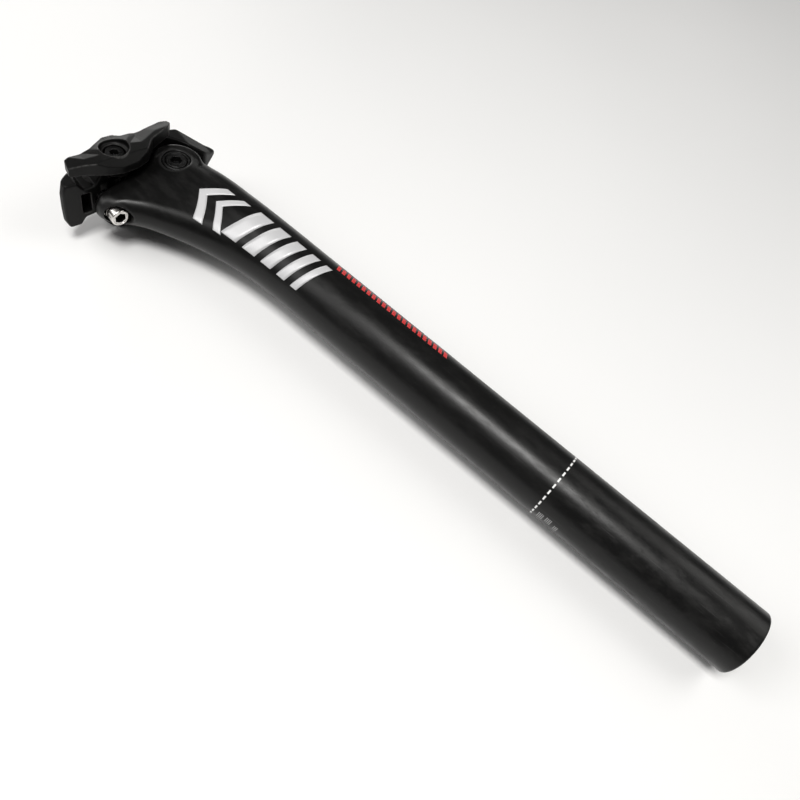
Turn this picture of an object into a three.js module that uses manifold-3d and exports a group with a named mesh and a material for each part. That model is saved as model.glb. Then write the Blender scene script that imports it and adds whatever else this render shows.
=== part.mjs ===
// A rigid bicycle seatpost: one carbon-fibre moulding (tube and set-back head) with a side-clamping
// saddle cradle. One bolt pinches the two jaws onto the saddle rails and another sets the saddle's tilt.
//
// Millimetres. X runs up the tube from its open lower end, Y points to the rear of the bicycle (the
// set-back side) and Z points to the near side, so the post lies on its far side.

import * as THREE from "three";
import { mergeVertices } from "three/addons/utils/BufferGeometryUtils.js";
import Module from "manifold-3d";

const wasm = await Module();
wasm.setup();

// Driving dimensions -------------------------------------------------------------------------------

const TUBE_RADIUS = 15.8;
const TUBE_WALL = 2.3;
const BORE_DEPTH = 286;
const END_EDGE_RADIUS = 1.2;

const CLAMP_CENTRE_X = 345;
const SETBACK = 25;
const SEAT_ANGLE = THREE.MathUtils.degToRad(79.5); // between the saddle rails and the tube

// Places in the clamp frame: x forward along the rails, y up away from the tube, z to the near side.
const RAIL_RADIUS = 3.5;
const RAIL_HEIGHT = 10.6;
const RAIL_HALF_SPACING = 22;
const PIVOT = { x: 23.4, y: -8.2 };
const TILT_BOLT_X = -12;
const TILT_SEAT_Y = -10.4;
const TILT_NUT_Y = 3.2;
const CLAMP_BOLT = { x: -2.3, y: 1.8 };

const GAP = 0.3; // between pieces that touch
const THREAD_GAP = 0.3; // between a screw and its nut, on the radius

const EAR_HALF_WIDTH = 13.8;
const SLOT_HALF_WIDTH = 5.4;
const TONGUE_HALF_WIDTH = 4.1;
const PIVOT_BOSS_RADIUS = 12.2;
const PIVOT_RECESS_RADIUS = 6.8;
const PIVOT_RECESS_FLOOR = 7.4;
const PIVOT_BOSS_EDGE = 2.2;
const PIVOT_INSERT_FLANGE = 1.4;

const M6_RADIUS = 3;
const M6_HEAD_RADIUS = 5;
const M6_SOCKET_RADIUS = 2.9; // across corners
const M5_RADIUS = 2.5;
const M5_HEAD_RADIUS = 4.25;
const M5_SOCKET_RADIUS = 2.3;

const CRADLE_HALF_WIDTH = 15.2;
const CRADLE_PIVOT_BORE = 4.9;
const PIVOT_SLEEVE_RADIUS = 4.6;
const PIVOT_SLEEVE_HALF_LENGTH = 5.1;
const THRUST_WASHER_RADIUS = 7.4;
const BARREL_NUT_RADIUS = 5;
const BARREL_NUT_HALF_LENGTH = 6.8;
const CLAMP_WASHER_RADIUS = 4.9;
const CLAMP_WASHER_THICKNESS = 1.2;
const TILT_BORE_CLEARANCE = 1.3; // lets the tilt screw lean as the cradle turns
const TILT_POCKET = { x: -12.2, radius: 5.25 };
const TILT_SEAT_RADIUS = 4.7;
const TILT_BALL_RADIUS = 4.2;
const SHOULDER_HALF_WIDTH = RAIL_HALF_SPACING - RAIL_RADIUS - 0.2; // inside a rail
const JAW_INNER_Z = 15.6;
const JAW_OUTER_Z = 22.5;
const JAW_BOSS_RADIUS = 6.8;
const JAW_BOSS_END_Z = 10.4;
const CLAMP_RECESS_RADIUS = 5.2;
const CLAMP_MOUTH_RADIUS = 6.7;
const CLAMP_MOUTH_Z = 18.9;
const SLEEVE_NUT_RADIUS = 3.9;
const CLAMP_RECESS_FLOOR_Z = 12.2;

const CARBON = { color: 0x141414, roughness: 0.55, metalness: 0 };
const BLASTED_ALLOY = { color: 0x1c1c1b, roughness: 0.75, metalness: 0.4 };
const BLACK_STEEL = { color: 0x0c0c0d, roughness: 0.35, metalness: 0.6 };
const SILVER_STEEL = { color: 0xc9c7c2, roughness: 0.25, metalness: 1 };
const ALLOY = { color: 0x9b9b9a, roughness: 0.4, metalness: 1 };
const POLYMER = { color: 0x222222, roughness: 0.6, metalness: 0 };

// Solids ---------------------------------------------------------------------------------------------

function toSolid(geometry) {
  const bare = geometry.clone();
  bare.deleteAttribute("normal");
  bare.deleteAttribute("uv");
  const merged = mergeVertices(bare, 1e-4);
  return new wasm.Manifold(new wasm.Mesh({
    numProp: 3,
    vertProperties: new Float32Array(merged.attributes.position.array),
    triVerts: new Uint32Array(merged.index.array),
  }));
}

function toGeometry(solid) {
  const mesh = solid.getMesh();
  const geometry = new THREE.BufferGeometry();
  geometry.setAttribute("position", new THREE.BufferAttribute(new Float32Array(mesh.vertProperties), 3));
  geometry.setIndex(new THREE.BufferAttribute(new Uint32Array(mesh.triVerts), 1));
  const faceted = geometry.toNonIndexed();
  faceted.computeVertexNormals();
  return faceted;
}

const join = (...shapes) => shapes.map(toSolid).reduce((whole, piece) => whole.add(piece));
const common = (...shapes) => shapes.map(toSolid).reduce((whole, piece) => whole.intersect(piece));
const cut = (solid, ...shapes) => shapes.map(toSolid).reduce((rest, piece) => rest.subtract(piece), solid);

// A cylinder along Z through (x, y), from z low to z high.
function roundAlongZ(radius, { x, y }, low, high, sides = 48) {
  const geometry = new THREE.CylinderGeometry(radius, radius, high - low, sides);
  geometry.rotateX(Math.PI / 2);
  return geometry.translate(x, y, (low + high) / 2);
}

// A cylinder along Y through (x, 0), from y low to y high.
function roundAlongY(radius, x, low, high, sides = 40) {
  return new THREE.CylinderGeometry(radius, radius, high - low, sides).translate(x, (low + high) / 2, 0);
}

// A body turned about Z through (x, y). The profile lists [radius, z] from the axis back to the axis.
function turnedAboutZ(profile, { x, y }, sides = 40) {
  const points = profile.map(([radius, z]) => new THREE.Vector2(radius, z));
  return new THREE.LatheGeometry(points, sides).rotateX(Math.PI / 2).translate(x, y, 0);
}

// A body turned about the Y direction through (x, 0). The profile lists [radius, y].
function turnedAboutY(profile, x, sides = 40) {
  const points = profile.map(([radius, y]) => new THREE.Vector2(radius, y));
  return new THREE.LatheGeometry(points, sides).translate(x, 0, 0);
}

function outline(points) {
  return new THREE.Shape(points.map(([a, b]) => new THREE.Vector2(a, b)));
}

function drawnOut(shape, depth) {
  return new THREE.ExtrudeGeometry(shape, { depth, bevelEnabled: false, curveSegments: 12 });
}

// A side view (x, y) drawn out along Z.
function sidePrism(shape, low, high) {
  return drawnOut(shape, high - low).translate(0, 0, low);
}

// A plan view (x, z) drawn out along Y.
function planPrism(shape, low, high) {
  return drawnOut(shape, high - low).rotateX(Math.PI / 2).translate(0, high, 0);
}

// An end view (z, y) drawn out along X.
function endPrism(shape, low, high) {
  return drawnOut(shape, high - low).rotateY(-Math.PI / 2).translate(high, 0, 0);
}

// The same body on the other side of the plane z = 0.
function mirroredAcrossZ(geometry) {
  const copy = geometry.clone().scale(1, 1, -1);
  const position = copy.attributes.position;
  for (let corner = 0; corner < position.count; corner += 3) {
    const second = new THREE.Vector3().fromBufferAttribute(position, corner + 1);
    const third = new THREE.Vector3().fromBufferAttribute(position, corner + 2);
    position.setXYZ(corner + 1, third.x, third.y, third.z);
    position.setXYZ(corner + 2, second.x, second.y, second.z);
  }
  copy.computeVertexNormals();
  return copy;
}

// The clamp frame in the post's frame: its x leans forward of square to the tube.
const clampPlace = new THREE.Matrix4()
  .makeRotationZ(-Math.PI / 2 - (Math.PI / 2 - SEAT_ANGLE))
  .setPosition(CLAMP_CENTRE_X, SETBACK, 0);
const atClamp = (geometry) => geometry.applyMatrix4(clampPlace);

// The post --------------------------------------------------------------------------------------------

// A section of the post square to X: the hull of a front and a rear circle, as points around it.
function postSection({ x, frontY, frontRadius, rearY, rearRadius }, count = 48) {
  const points = [];
  for (let step = 0; step < count; step += 1) {
    const angle = (step / count) * 2 * Math.PI;
    const towardsRear = Math.cos(angle);
    const frontReach = frontY * towardsRear + frontRadius;
    const rearReach = rearY * towardsRear + rearRadius;
    const [centreY, radius] = rearReach >= frontReach ? [rearY, rearRadius] : [frontY, frontRadius];
    points.push(new THREE.Vector3(x, centreY + radius * towardsRear, radius * Math.sin(angle)));
  }
  return points;
}

// A closed skin over the sections, with a flat face at each end.
function loft(sections) {
  const count = sections[0].length;
  const positions = sections.flat().flatMap((p) => [p.x, p.y, p.z]);
  const centres = [sections[0], sections.at(-1)].map((ring) => {
    const sum = ring.reduce((total, p) => total.add(p), new THREE.Vector3());
    return sum.divideScalar(count);
  });
  centres.forEach((c) => positions.push(c.x, c.y, c.z));
  const firstCentre = sections.length * count;
  const index = [];
  for (let ring = 0; ring + 1 < sections.length; ring += 1) {
    for (let step = 0; step < count; step += 1) {
      const a = ring * count + step;
      const b = ring * count + ((step + 1) % count);
      index.push(a, b, a + count, b, b + count, a + count);
    }
  }
  const last = (sections.length - 1) * count;
  for (let step = 0; step < count; step += 1) {
    const next = (step + 1) % count;
    index.push(firstCentre, next, step);
    index.push(firstCentre + 1, last + step, last + next);
  }
  const geometry = new THREE.BufferGeometry();
  geometry.setAttribute("position", new THREE.Float32BufferAttribute(positions, 3));
  geometry.setIndex(index);
  return geometry;
}

// Where the head leaves the tube it sweeps to the rear and narrows; its top follows the cradle.
function postOutside() {
  const tube = (x, radius) => ({ x, frontY: 0, frontRadius: radius, rearY: 0, rearRadius: radius });
  const stations = [
    tube(0, TUBE_RADIUS - END_EDGE_RADIUS),
    tube(END_EDGE_RADIUS * 0.3, TUBE_RADIUS - END_EDGE_RADIUS * 0.3),
    tube(END_EDGE_RADIUS, TUBE_RADIUS),
    tube(248, TUBE_RADIUS),
    { x: 262, frontY: 0, frontRadius: 15.8, rearY: 1.2, rearRadius: 15 },
    { x: 276, frontY: 0, frontRadius: 15.7, rearY: 4.2, rearRadius: 13.6 },
    { x: 290, frontY: 0, frontRadius: 15.5, rearY: 9, rearRadius: 12 },
    { x: 302, frontY: 0, frontRadius: 15.1, rearY: 14.4, rearRadius: 10.6 },
    { x: 313, frontY: 0.6, frontRadius: 15, rearY: 20, rearRadius: 9.6 },
    { x: 322, frontY: 1.6, frontRadius: 14.6, rearY: 25.4, rearRadius: 8.8 },
    { x: 329, frontY: 2.4, frontRadius: 14.2, rearY: 31.4, rearRadius: 8.2 },
    { x: 333, frontY: 3, frontRadius: 14, rearY: 36, rearRadius: 7.8 },
    { x: 337, frontY: 3.4, frontRadius: 13.5, rearY: 38, rearRadius: 7.6 },
    { x: 340.4, frontY: 4, frontRadius: 12.6, rearY: 37.8, rearRadius: 7.2 },
    { x: 341.6, frontY: 4, frontRadius: 11.6, rearY: 37.4, rearRadius: 6.4 },
  ];
  return loft(stations.map((station) => postSection(station)));
}

function pivotBoss() {
  const rim = [
    [PIVOT_BOSS_RADIUS, EAR_HALF_WIDTH - PIVOT_BOSS_EDGE],
    [PIVOT_BOSS_RADIUS - PIVOT_BOSS_EDGE * 0.3, EAR_HALF_WIDTH - PIVOT_BOSS_EDGE * 0.3],
    [PIVOT_BOSS_RADIUS - PIVOT_BOSS_EDGE, EAR_HALF_WIDTH],
    [0, EAR_HALF_WIDTH],
  ];
  const farRim = rim.map(([radius, z]) => [radius, -z]).reverse();
  return turnedAboutZ([...farRim, ...rim], PIVOT, 56);
}

function tubeBore() {
  const radius = TUBE_RADIUS - TUBE_WALL;
  const profile = [
    [0, -1], [radius, -1], [radius, BORE_DEPTH - 12], [radius * 0.7, BORE_DEPTH - 3], [0, BORE_DEPTH],
  ];
  const points = profile.map(([r, x]) => new THREE.Vector2(r, x));
  return new THREE.LatheGeometry(points, 48).rotateZ(-Math.PI / 2);
}

// The slot that the cradle's tongue swings in, open at the front, the rear and the top.
function tongueSlot() {
  const shape = outline([[12, 14], [12, -3], [16, -16], [50, -16], [50, 14]]);
  return sidePrism(shape, -SLOT_HALF_WIDTH, SLOT_HALF_WIDTH);
}

function postBody() {
  const outside = join(postOutside(), atClamp(pivotBoss()));
  const deep = EAR_HALF_WIDTH + 4;
  const body = cut(
    outside,
    tubeBore(),
    atClamp(tongueSlot()),
    atClamp(roundAlongZ(M6_RADIUS + GAP, PIVOT, -deep, deep, 32)),
    atClamp(roundAlongZ(PIVOT_RECESS_RADIUS, PIVOT, PIVOT_RECESS_FLOOR, deep)),
    atClamp(roundAlongZ(PIVOT_RECESS_RADIUS, PIVOT, -deep, -PIVOT_RECESS_FLOOR)),
    atClamp(roundAlongY(M5_RADIUS + TILT_BORE_CLEARANCE, TILT_BOLT_X, TILT_SEAT_Y - 3, 2, 32)),
    atClamp(roundAlongY(TILT_POCKET.radius, TILT_POCKET.x, -40, TILT_SEAT_Y)),
  );
  return toGeometry(body);
}

// The pivot ---------------------------------------------------------------------------------------------

function pivotInsert(side) {
  const floor = PIVOT_RECESS_FLOOR + GAP;
  const inner = M6_RADIUS + GAP;
  const outer = PIVOT_RECESS_RADIUS - GAP;
  const rim = M6_HEAD_RADIUS + GAP;
  const top = EAR_HALF_WIDTH - 0.6;
  const ledge = floor + PIVOT_INSERT_FLANGE;
  const ring = [[inner, floor], [outer, floor], [outer, top], [rim, top - 0.6], [rim, ledge], [inner, ledge]];
  const closed = [...ring, ring[0]];
  const geometry = toGeometry(toSolid(turnedAboutZ(closed, PIVOT)));
  return side > 0 ? geometry : mirroredAcrossZ(geometry);
}

const PIVOT_HEAD_Z = PIVOT_RECESS_FLOOR + GAP + PIVOT_INSERT_FLANGE + GAP;

// A cap screw along Z with its head outermost and a hexagon socket in it.
function capScrewAlongZ({ centre, radius, headRadius, headLow, headHigh, tip, socketRadius }) {
  const edge = 0.6;
  const blank = turnedAboutZ([
    [0, tip], [radius - edge, tip], [radius, tip + edge], [radius, headLow], [headRadius, headLow],
    [headRadius, headHigh - edge], [headRadius - edge, headHigh], [0, headHigh],
  ], centre);
  const socket = roundAlongZ(socketRadius, centre, headHigh - 3.2, headHigh + 1, 6);
  return toGeometry(cut(toSolid(blank), socket));
}

function pivotBolt() {
  return capScrewAlongZ({
    centre: PIVOT, radius: M6_RADIUS - THREAD_GAP / 2, headRadius: M6_HEAD_RADIUS, headLow: PIVOT_HEAD_Z,
    headHigh: PIVOT_HEAD_Z + 3.9, tip: -11.2, socketRadius: M6_SOCKET_RADIUS,
  });
}

function pivotNut() {
  const head = roundAlongZ(M6_HEAD_RADIUS, PIVOT, -12.8, -PIVOT_HEAD_Z, 40);
  return toGeometry(cut(toSolid(head), roundAlongZ(M6_RADIUS + THREAD_GAP / 2, PIVOT, -14, 0, 32)));
}

function ringAlongZ(inner, outer, centre, low, high, sides = 40) {
  return toGeometry(cut(toSolid(roundAlongZ(outer, centre, low, high, sides)),
    roundAlongZ(inner, centre, low - 1, high + 1, sides)));
}

// The cradle --------------------------------------------------------------------------------------------

function cradleSide() {
  const clear = PIVOT_BOSS_RADIUS + 2.8;
  const shape = new THREE.Shape();
  shape.moveTo(-31.7, -1.2);
  shape.lineTo(-30.4, -3.4);
  shape.lineTo(-22.5, -3.6);
  shape.lineTo(-20.5, -4.2);
  shape.lineTo(8, -0.6);
  shape.absarc(PIVOT.x, PIVOT.y, clear, Math.PI * 0.8, Math.PI * 0.2, true);
  shape.lineTo(43.5, -2.4);
  shape.lineTo(49.6, 0.7);
  shape.lineTo(52.2, 2.4);
  shape.lineTo(51, 4.8);
  shape.lineTo(36, 13.4);
  shape.lineTo(29, 12.6);
  shape.lineTo(22, 10.8);
  shape.lineTo(-8, 10);
  shape.lineTo(-21, 7.4);
  shape.lineTo(-27.5, 3);
  return sidePrism(shape, -20, 20);
}

// The rear bar is bowed and stands out past the narrow waist in front of it.
function cradlePlan() {
  const half = CRADLE_HALF_WIDTH;
  const near = [
    [-31.8, 1], [-31.4, 8], [-29.2, 12.6], [-23.8, 12.6], [-21, 8.2], [-15.6, 8.2], [-11, half],
    [24, half], [36, 11.4], [48, 2.8], [52.3, 0.9],
  ];
  const far = near.map(([x, z]) => [x, -z]).reverse();
  return planPrism(outline([...near, ...far]), -12, 16);
}

function cradleTongue() {
  const arm = outline([[17.5, 7], [17.6, -8], [29.2, -8], [30, 7]]);
  const tip = roundAlongZ(6, PIVOT, -TONGUE_HALF_WIDTH, TONGUE_HALF_WIDTH, 36);
  return toGeometry(join(sidePrism(arm, -TONGUE_HALF_WIDTH, TONGUE_HALF_WIDTH), tip));
}

// A pair of shoulders, one each side, that the insides of the saddle rails bear on.
function cradleShoulder(low, high) {
  const half = SHOULDER_HALF_WIDTH;
  const near = [[half - 2, 7.8], [half, 9.4], [half, 11.4], [half - 1, 12.2]];
  const far = near.map(([z, y]) => [-z, y]).reverse();
  const section = outline([...near, ...far]);
  return endPrism(section, low, high);
}

// A pocket between the rear bar and the barrel nut's block, open below.
function cradleHollow() {
  const space = outline([[-22.6, -14], [-22.6, 3.6], [-18.2, 5], [-18.2, -14]]);
  return sidePrism(space, -5.8, 5.8);
}

function railGroove(centreZ) {
  const rail = new THREE.CylinderGeometry(RAIL_RADIUS + 0.1, RAIL_RADIUS + 0.1, 120, 24);
  return rail.rotateZ(Math.PI / 2).translate(0, RAIL_HEIGHT, centreZ);
}

function cradle() {
  const shoulders = join(cradleShoulder(-6.5, 3.5), cradleShoulder(23.5, 28.5));
  const body = common(cradleSide(), cradlePlan()).add(shoulders).add(toSolid(cradleTongue()));
  const wide = 30;
  const reach = JAW_BOSS_RADIUS + GAP;
  const nutPlace = { x: TILT_BOLT_X, y: TILT_NUT_Y };
  return toGeometry(cut(
    body,
    cradleHollow(),
    roundAlongZ(CRADLE_PIVOT_BORE, PIVOT, -wide, wide, 36),
    roundAlongZ(SLEEVE_NUT_RADIUS + GAP, CLAMP_BOLT, -wide, 6.5, 36),
    roundAlongZ(M5_RADIUS + GAP, CLAMP_BOLT, -wide, wide, 36),
    roundAlongZ(reach, CLAMP_BOLT, JAW_BOSS_END_Z - GAP, wide),
    roundAlongZ(reach, CLAMP_BOLT, -wide, -JAW_BOSS_END_Z + GAP),
    roundAlongZ(BARREL_NUT_RADIUS + GAP, nutPlace, -wide, BARREL_NUT_HALF_LENGTH + GAP, 36),
    roundAlongY(M5_RADIUS + TILT_BORE_CLEARANCE, TILT_BOLT_X, -20, 20, 32),
  ));
}

// The jaws ------------------------------------------------------------------------------------------------

const JAW_UPPER_EDGE = [
  [27, 5], [30, 8], [29.4, 11], [26, 11.9], [14.4, 8.8], [4.6, 9.2], [2, 12], [-3.2, 12.2],
];

// The near jaw hangs lower, round its bolt recess, and has a long rear wing.
const NEAR_JAW_SIDE = [
  [-26, -1.6], [-19, -3.4], [-10.6, -7.2], [-4, -8.8], [4, -8.4], [10.2, -6], [16, 0.2],
  ...JAW_UPPER_EDGE, [-11.8, 5.9], [-22.3, 5], [-25, 4],
];

// The far jaw only has to hold the nut.
const FAR_JAW_SIDE = [
  [-10, 4], [-8.4, -0.4], [-5.6, -3.4], [0.8, -3.8], [5, -2], [14, 1.4], ...JAW_UPPER_EDGE, [-9, 9.6],
];

function jawSide(points) {
  return sidePrism(outline(points), 13, JAW_OUTER_Z);
}

function jawPlan() {
  const shape = outline([
    [-26.2, 16.4], [-26.2, 19.6], [-25.4, 20.4], [-11, JAW_OUTER_Z], [7, JAW_OUTER_Z],
    [28, 21.6], [30.2, 20.4], [30.2, JAW_INNER_Z], [-25.6, JAW_INNER_Z],
  ]);
  return planPrism(shape, -14, 14);
}

// Bevels run the length of the jaw above and below its flat outer face.
function jawEnd() {
  const shape = outline([
    [13, -13], [18, -10], [JAW_OUTER_Z - 0.5, -5.4], [JAW_OUTER_Z, -4.6], [JAW_OUTER_Z, 3.4],
    [20.2, 9.6], [19.4, 13], [13, 13],
  ]);
  return endPrism(shape, -30, 32);
}

function jawBoss() {
  return roundAlongZ(JAW_BOSS_RADIUS, CLAMP_BOLT, JAW_BOSS_END_Z, JAW_INNER_Z + 1);
}

function jawBlank(points) {
  return common(jawSide(points), jawPlan(), jawEnd()).add(toSolid(jawBoss()));
}

// The groove meets the rail when the jaw has slid out to it.
const JAW_GROOVE_Z = SHOULDER_HALF_WIDTH + 0.4 - RAIL_RADIUS;

function nearJaw() {
  return toGeometry(cut(
    jawBlank(NEAR_JAW_SIDE),
    railGroove(JAW_GROOVE_Z),
    roundAlongZ(CLAMP_RECESS_RADIUS, CLAMP_BOLT, CLAMP_RECESS_FLOOR_Z, 40),
    roundAlongZ(CLAMP_MOUTH_RADIUS, CLAMP_BOLT, CLAMP_MOUTH_Z, 40),
    roundAlongZ(M5_RADIUS + GAP, CLAMP_BOLT, 0, 40, 36),
  ));
}

function farJaw() {
  const solid = cut(
    jawBlank(FAR_JAW_SIDE),
    railGroove(JAW_GROOVE_Z),
    roundAlongZ(SLEEVE_NUT_RADIUS + GAP, CLAMP_BOLT, 0, 19.4, 40),
  );
  return mirroredAcrossZ(toGeometry(solid));
}

function clampBolt() {
  const headLow = CLAMP_RECESS_FLOOR_Z + GAP + CLAMP_WASHER_THICKNESS + GAP;
  return capScrewAlongZ({
    centre: CLAMP_BOLT, radius: M5_RADIUS - THREAD_GAP / 2, headRadius: M5_HEAD_RADIUS, headLow,
    headHigh: headLow + 5, tip: -18.6, socketRadius: M5_SOCKET_RADIUS,
  });
}

function clampSleeveNut() {
  const bore = M5_RADIUS + THREAD_GAP / 2;
  return ringAlongZ(bore, SLEEVE_NUT_RADIUS, CLAMP_BOLT, -19.1, -1);
}

// The tilt screw --------------------------------------------------------------------------------------------

const SEAT_WASHER_HEIGHT = 1.5;
const BALL_WASHER_HEIGHT = 1.7;

// Washers under the tilt screw's head: a dished seat against the head and a domed one in it.
function tiltSeatWasher() {
  const top = TILT_SEAT_Y - GAP;
  const low = top - SEAT_WASHER_HEIGHT;
  const outer = TILT_SEAT_RADIUS;
  const ring = [[3.4, top], [3.4, top - 0.7], [outer - 0.2, low], [outer, low], [outer, top], [3.4, top]];
  return toGeometry(toSolid(turnedAboutY(ring, TILT_BOLT_X)));
}

function tiltBallWasher() {
  const top = TILT_SEAT_Y - GAP - 1.05;
  const low = top - BALL_WASHER_HEIGHT;
  const outer = TILT_BALL_RADIUS;
  const ring = [[2.8, top], [2.8, low], [outer, low], [outer, low + 0.55], [3.1, top], [2.8, top]];
  return toGeometry(toSolid(turnedAboutY(ring, TILT_BOLT_X)));
}

const TILT_HEAD_TOP = TILT_SEAT_Y - 2 * GAP - 1.05 - BALL_WASHER_HEIGHT;

function tiltBolt() {
  const headLength = 5;
  const end = TILT_HEAD_TOP - headLength;
  const tip = 11.5;
  const edge = 0.6;
  const blank = turnedAboutY([
    [0, end], [M5_HEAD_RADIUS - edge, end], [M5_HEAD_RADIUS, end + edge], [M5_HEAD_RADIUS, TILT_HEAD_TOP],
    [M5_RADIUS, TILT_HEAD_TOP], [M5_RADIUS, tip - edge], [M5_RADIUS - edge, tip], [0, tip],
  ], TILT_BOLT_X);
  return toGeometry(cut(toSolid(blank), roundAlongY(M5_SOCKET_RADIUS, TILT_BOLT_X, end - 1, end + 2.6, 6)));
}

function tiltBarrelNut() {
  const place = { x: TILT_BOLT_X, y: TILT_NUT_Y };
  const barrel = roundAlongZ(BARREL_NUT_RADIUS, place, -BARREL_NUT_HALF_LENGTH, BARREL_NUT_HALF_LENGTH, 40);
  return toGeometry(cut(toSolid(barrel), roundAlongY(M5_RADIUS + THREAD_GAP, TILT_BOLT_X, -10, 14, 32)));
}

// The assembly -----------------------------------------------------------------------------------------

function named(name, geometry, look) {
  const mesh = new THREE.Mesh(geometry, new THREE.MeshStandardMaterial(look));
  mesh.name = name;
  return mesh;
}

function pivotSleeve() {
  const half = PIVOT_SLEEVE_HALF_LENGTH;
  return ringAlongZ(M6_RADIUS + GAP, PIVOT_SLEEVE_RADIUS, PIVOT, -half, half);
}

function thrustWasher(side) {
  const edges = [TONGUE_HALF_WIDTH + GAP, SLOT_HALF_WIDTH - GAP];
  const [low, high] = side > 0 ? edges : [-edges[1], -edges[0]];
  return ringAlongZ(CRADLE_PIVOT_BORE, THRUST_WASHER_RADIUS, PIVOT, low, high);
}

function clampWasher() {
  const low = CLAMP_RECESS_FLOOR_Z + GAP;
  return ringAlongZ(M5_RADIUS + GAP, CLAMP_WASHER_RADIUS, CLAMP_BOLT, low, low + CLAMP_WASHER_THICKNESS);
}

const clamp = new THREE.Group();
clamp.applyMatrix4(clampPlace);
clamp.add(
  named("near_pivot_insert", pivotInsert(1), ALLOY),
  named("far_pivot_insert", pivotInsert(-1), ALLOY),
  named("pivot_bolt", pivotBolt(), BLACK_STEEL),
  named("pivot_nut", pivotNut(), BLACK_STEEL),
  named("pivot_sleeve", pivotSleeve(), ALLOY),
  named("near_thrust_washer", thrustWasher(1), POLYMER),
  named("far_thrust_washer", thrustWasher(-1), POLYMER),
  named("cradle", cradle(), BLASTED_ALLOY),
  named("near_jaw", nearJaw(), BLASTED_ALLOY),
  named("far_jaw", farJaw(), BLASTED_ALLOY),
  named("clamp_bolt", clampBolt(), BLACK_STEEL),
  named("clamp_washer", clampWasher(), BLACK_STEEL),
  named("clamp_sleeve_nut", clampSleeveNut(), BLACK_STEEL),
  named("tilt_bolt", tiltBolt(), SILVER_STEEL),
  named("tilt_ball_washer", tiltBallWasher(), SILVER_STEEL),
  named("tilt_seat_washer", tiltSeatWasher(), SILVER_STEEL),
  named("tilt_barrel_nut", tiltBarrelNut(), SILVER_STEEL),
);

const group = new THREE.Group();
group.add(named("post_body", postBody(), CARBON), clamp);

// The origin is under the middle of the whole post, on the surface that it lies on.
group.updateMatrixWorld(true);
const box = new THREE.Box3().setFromObject(group, true);
const middle = box.getCenter(new THREE.Vector3());
group.position.set(-middle.x, -middle.y, -box.min.z);

export default group;
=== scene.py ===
"""A carbon seatpost with a set-back head and a side-clamping saddle cradle, lying on its far side.

Each metal or carbon piece is a closed surface traced from a distance field: a function that says how
far a point is outside the piece, in millimetres. Rounded edges come from rounded intersections.
Three frames are used: the post's (X up the tube, Y to the rear, Z to the near side), the clamp's
(x forward along the rails, y up, z to the near side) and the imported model's, in metres.
"""
import math

import bpy
import numpy as np
from mathutils import Matrix, Vector


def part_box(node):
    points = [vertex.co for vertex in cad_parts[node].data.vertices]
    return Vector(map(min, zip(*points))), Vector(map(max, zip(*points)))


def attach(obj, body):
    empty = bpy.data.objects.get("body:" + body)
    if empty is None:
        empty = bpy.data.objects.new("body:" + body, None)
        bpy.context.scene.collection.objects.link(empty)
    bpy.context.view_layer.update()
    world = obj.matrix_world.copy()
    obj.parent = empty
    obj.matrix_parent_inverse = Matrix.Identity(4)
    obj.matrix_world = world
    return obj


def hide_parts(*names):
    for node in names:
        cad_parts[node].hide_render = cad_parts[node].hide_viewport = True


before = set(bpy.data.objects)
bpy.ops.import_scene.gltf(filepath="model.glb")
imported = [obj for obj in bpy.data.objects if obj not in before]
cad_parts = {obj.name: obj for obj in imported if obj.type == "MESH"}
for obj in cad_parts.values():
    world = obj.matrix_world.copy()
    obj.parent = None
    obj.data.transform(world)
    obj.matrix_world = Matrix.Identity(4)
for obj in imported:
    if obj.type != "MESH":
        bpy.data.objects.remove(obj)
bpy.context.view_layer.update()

MM = 0.001

# The post, in millimetres
TUBE_RADIUS = 15.8
BORE_RADIUS = 13.5
BORE_DEPTH = 286.0
TOP_X = 341.6
RING_X = 100.4
CLAMP_CENTRE = (345.0, 25.0)
CLAMP_ANGLE = math.radians(-100.5)

# The bosses round the pivot on the head's ears, and what is cut into the head
BOSS_RADIUS = 12.2
BOSS_HALF_WIDTH = 13.4
BOSS_TAPER = 0.24
BOSS_TAPER_START = 3.5
SLOT_HALF_WIDTH = 5.4
EAR_HOLE_RADIUS = 3.3
EAR_RECESS_RADIUS = 6.8
EAR_RECESS_FLOOR = 7.4
TILT_HOLE_RADIUS = 3.8

# The clamp, in millimetres in its own frame
PIVOT = (23.4, -8.2)
CLAMP_BOLT = (-2.3, 1.8)
TILT_X = -12.0
TILT_SEAT_Y = -10.4
TILT_NUT_Y = 3.2
TILT_POCKET_X = -12.2
TILT_POCKET_RADIUS = 5.25
TILT_SEAT_RADIUS = 4.7
TILT_BALL_RADIUS = 4.2
TILT_HEAD_RADIUS = 4.25
TILT_HEAD_HEIGHT = 5.0
TILT_SHANK_RADIUS = 2.5
TILT_SHANK_TOP = 11.5
DOME_TOP_DROP = 1.05
DOME_HEIGHT = 1.7
SEAT_HEIGHT = 1.5
RAIL_Y = 10.6
RAIL_GROOVE_RADIUS = 3.6
GROOVE_Z = 15.2
GAP = 0.3
M5_SHANK_RADIUS = 2.35
M6_SHANK_RADIUS = 2.85
M5_PITCH = 0.8
M6_PITCH = 1.0

# The cradle, in the clamp's frame
TONGUE_HALF_WIDTH = 4.1
CRADLE_PIVOT_BORE = 4.9
HOLLOW_HALF_WIDTH = 5.8
CROSS_HOLE_RADIUS = 2.8
SLEEVE_HOLE_RADIUS = 4.2
SLEEVE_HOLE_END = 6.5
JAW_POCKET_RADIUS = 7.1
JAW_POCKET_FLOOR = 10.1
BARREL_HOLE_RADIUS = 5.3
BARREL_HOLE_END = 7.1
TILT_PASSAGE_RADIUS = 3.9

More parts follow.
